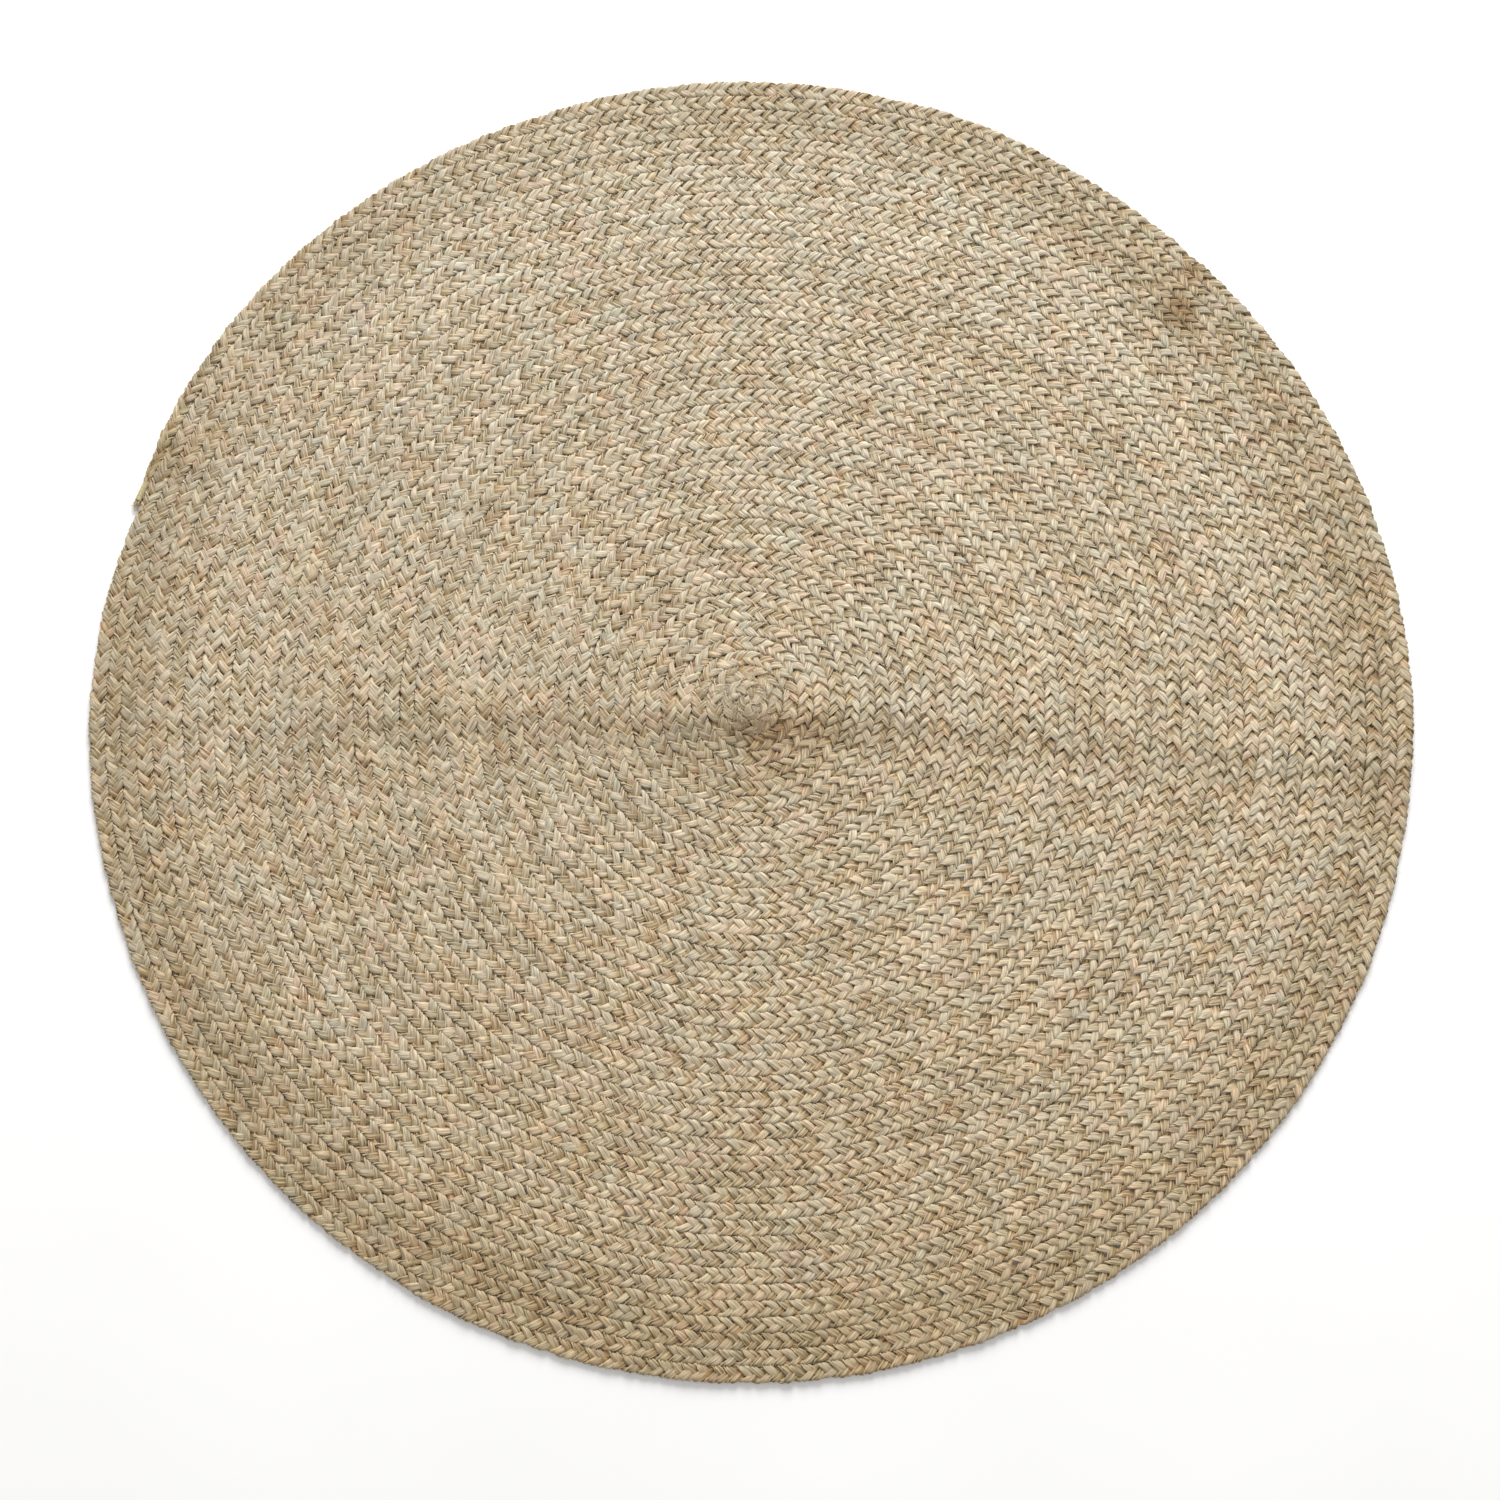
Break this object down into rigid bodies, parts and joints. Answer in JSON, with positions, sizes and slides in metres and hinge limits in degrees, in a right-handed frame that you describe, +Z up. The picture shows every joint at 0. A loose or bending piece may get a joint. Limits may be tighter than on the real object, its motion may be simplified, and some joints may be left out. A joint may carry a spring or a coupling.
{
  "type": "round braided area rug",
  "caption": "Round area rug of natural fibre: one flat three-strand braid coiled from the centre and laced turn to turn.",
  "frame": {"origin": "on the floor, under the middle of the rug", "axes": "+Z up, square to the floor; +Y points to the far side of the rug as the picture shows it, +X to its right"},
  "size_m": [1.7888, 1.8021, 0.01],
  "materials": {
    "braid_fibre": "matte, coarse natural fibre",
    "whipping_twine": "matte twisted twine",
    "lacing_thread": "matte twisted thread"
  },
  "bodies": {
    "root": {"braid_centre": "braid_fibre", "braid_turn_02": "braid_fibre", "braid_turn_03": "braid_fibre", "braid_turn_04": "braid_fibre", "braid_turn_05": "braid_fibre", "braid_turn_06": "braid_fibre", "braid_turn_07": "braid_fibre", "braid_turn_08": "braid_fibre", "braid_turn_09": "braid_fibre", "braid_turn_10": "braid_fibre", "braid_turn_11": "braid_fibre", "braid_turn_12": "braid_fibre", "braid_turn_13": "braid_fibre", "braid_turn_14": "braid_fibre", "braid_turn_15": "braid_fibre", "braid_turn_16": "braid_fibre", "braid_turn_17": "braid_fibre", "braid_turn_18": "braid_fibre", "braid_turn_19": "braid_fibre", "braid_turn_20": "braid_fibre", "braid_turn_21": "braid_fibre", "braid_turn_22": "braid_fibre", "braid_turn_23": "braid_fibre", "braid_turn_24": "braid_fibre", "braid_turn_25": "braid_fibre", "braid_turn_26": "braid_fibre", "braid_turn_27": "braid_fibre", "braid_turn_28": "braid_fibre", "braid_turn_29": "braid_fibre", "braid_turn_30": "braid_fibre", "braid_turn_31": "braid_fibre", "braid_turn_32": "braid_fibre", "braid_turn_33": "braid_fibre", "braid_turn_34": "braid_fibre", "braid_turn_35": "braid_fibre", "braid_turn_36": "braid_fibre", "braid_turn_37": "braid_fibre", "braid_turn_38": "braid_fibre", "braid_turn_39": "braid_fibre", "braid_turn_40": "braid_fibre", "braid_turn_41": "braid_fibre", "braid_turn_42": "braid_fibre", "braid_turn_43": "braid_fibre", "braid_tail": "braid_fibre", "tail_whipping": "whipping_twine", "lacing_thread": "lacing_thread"}
  },
  "joints": []
}
